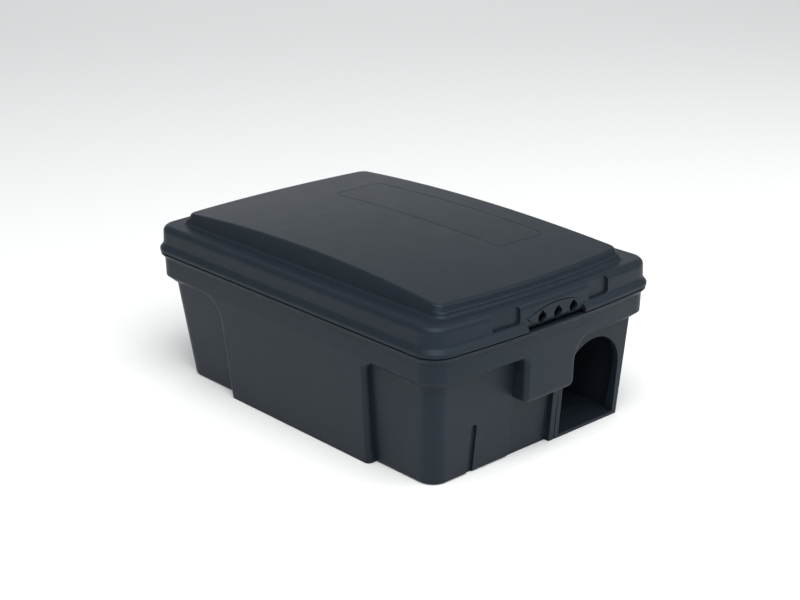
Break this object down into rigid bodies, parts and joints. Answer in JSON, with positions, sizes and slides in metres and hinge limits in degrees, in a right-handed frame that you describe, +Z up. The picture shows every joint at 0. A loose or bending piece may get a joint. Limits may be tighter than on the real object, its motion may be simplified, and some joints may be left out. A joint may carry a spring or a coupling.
{
  "type": "rodent bait station",
  "caption": "Low rectangular bait station with a hinged key-locked lid, arched entrances at both ends, a runway, lift-out bait rods and a bait tray.",
  "frame": {"origin": "on the underside, in the middle of the rim's outline", "axes": "+X towards the lock end, +Y towards the runway side that stands against a wall, +Z up"},
  "size_m": [0.3078, 0.2074, 0.1257],
  "materials": {
    "body_plastic": "fine-textured",
    "lid_plastic": "fine-textured",
    "insert_plastic": "satin",
    "latch_plastic": "satin",
    "steel": "zinc plated",
    "spring_steel": "oiled",
    "wax_bait": "waxy"
  },
  "bodies": {
    "base": {"base_tub": "body_plastic", "hinge_pin_front": "steel", "hinge_pin_rear": "steel", "runway_partition": "insert_plastic", "chamber_divider": "insert_plastic", "rod_cradle_inner": "insert_plastic", "rod_cradle_outer": "insert_plastic", "cradle_screws": "steel"},
    "lid": {"lid_shell": "lid_plastic", "latch_pin": "steel", "latch_spring": "spring_steel"},
    "latch": {"latch_tongue": "latch_plastic"},
    "front_rod": {"bait_rod_front": "steel", "rod_clips_front": "spring_steel", "bait_block_front_1": "wax_bait", "bait_block_front_2": "wax_bait"},
    "rear_rod": {"bait_rod_rear": "steel", "rod_clips_rear": "spring_steel", "bait_block_rear_1": "wax_bait", "bait_block_rear_2": "wax_bait"},
    "tray": {"bait_tray": "insert_plastic"}
  },
  "joints": [
    {"name": "lid_hinge", "type": "hinge", "parent": "base", "child": "lid", "pos_m": [-0.1542, 0, 0.0926], "axis": [0, -1, 0], "range_deg": [0, 105]},
    {"name": "latch_swing", "type": "hinge", "parent": "lid", "child": "latch", "pos_m": [0.1384, 0, 0.104], "axis": [0, 1, 0], "range_deg": [0, 10], "stiffness_Nm_per_rad": 0.05, "springref_deg": -17.19, "deforming": ["latch_spring"]},
    {"name": "front_rod_lift", "type": "slide", "parent": "base", "child": "front_rod", "axis": [0, 0, 1], "range_m": [0, 0.04]},
    {"name": "rear_rod_lift", "type": "slide", "parent": "base", "child": "rear_rod", "axis": [0, 0, 1], "range_m": [0, 0.04]},
    {"name": "tray_lift", "type": "slide", "parent": "base", "child": "tray", "axis": [0, 0, 1], "range_m": [0, 0.04]}
  ]
}
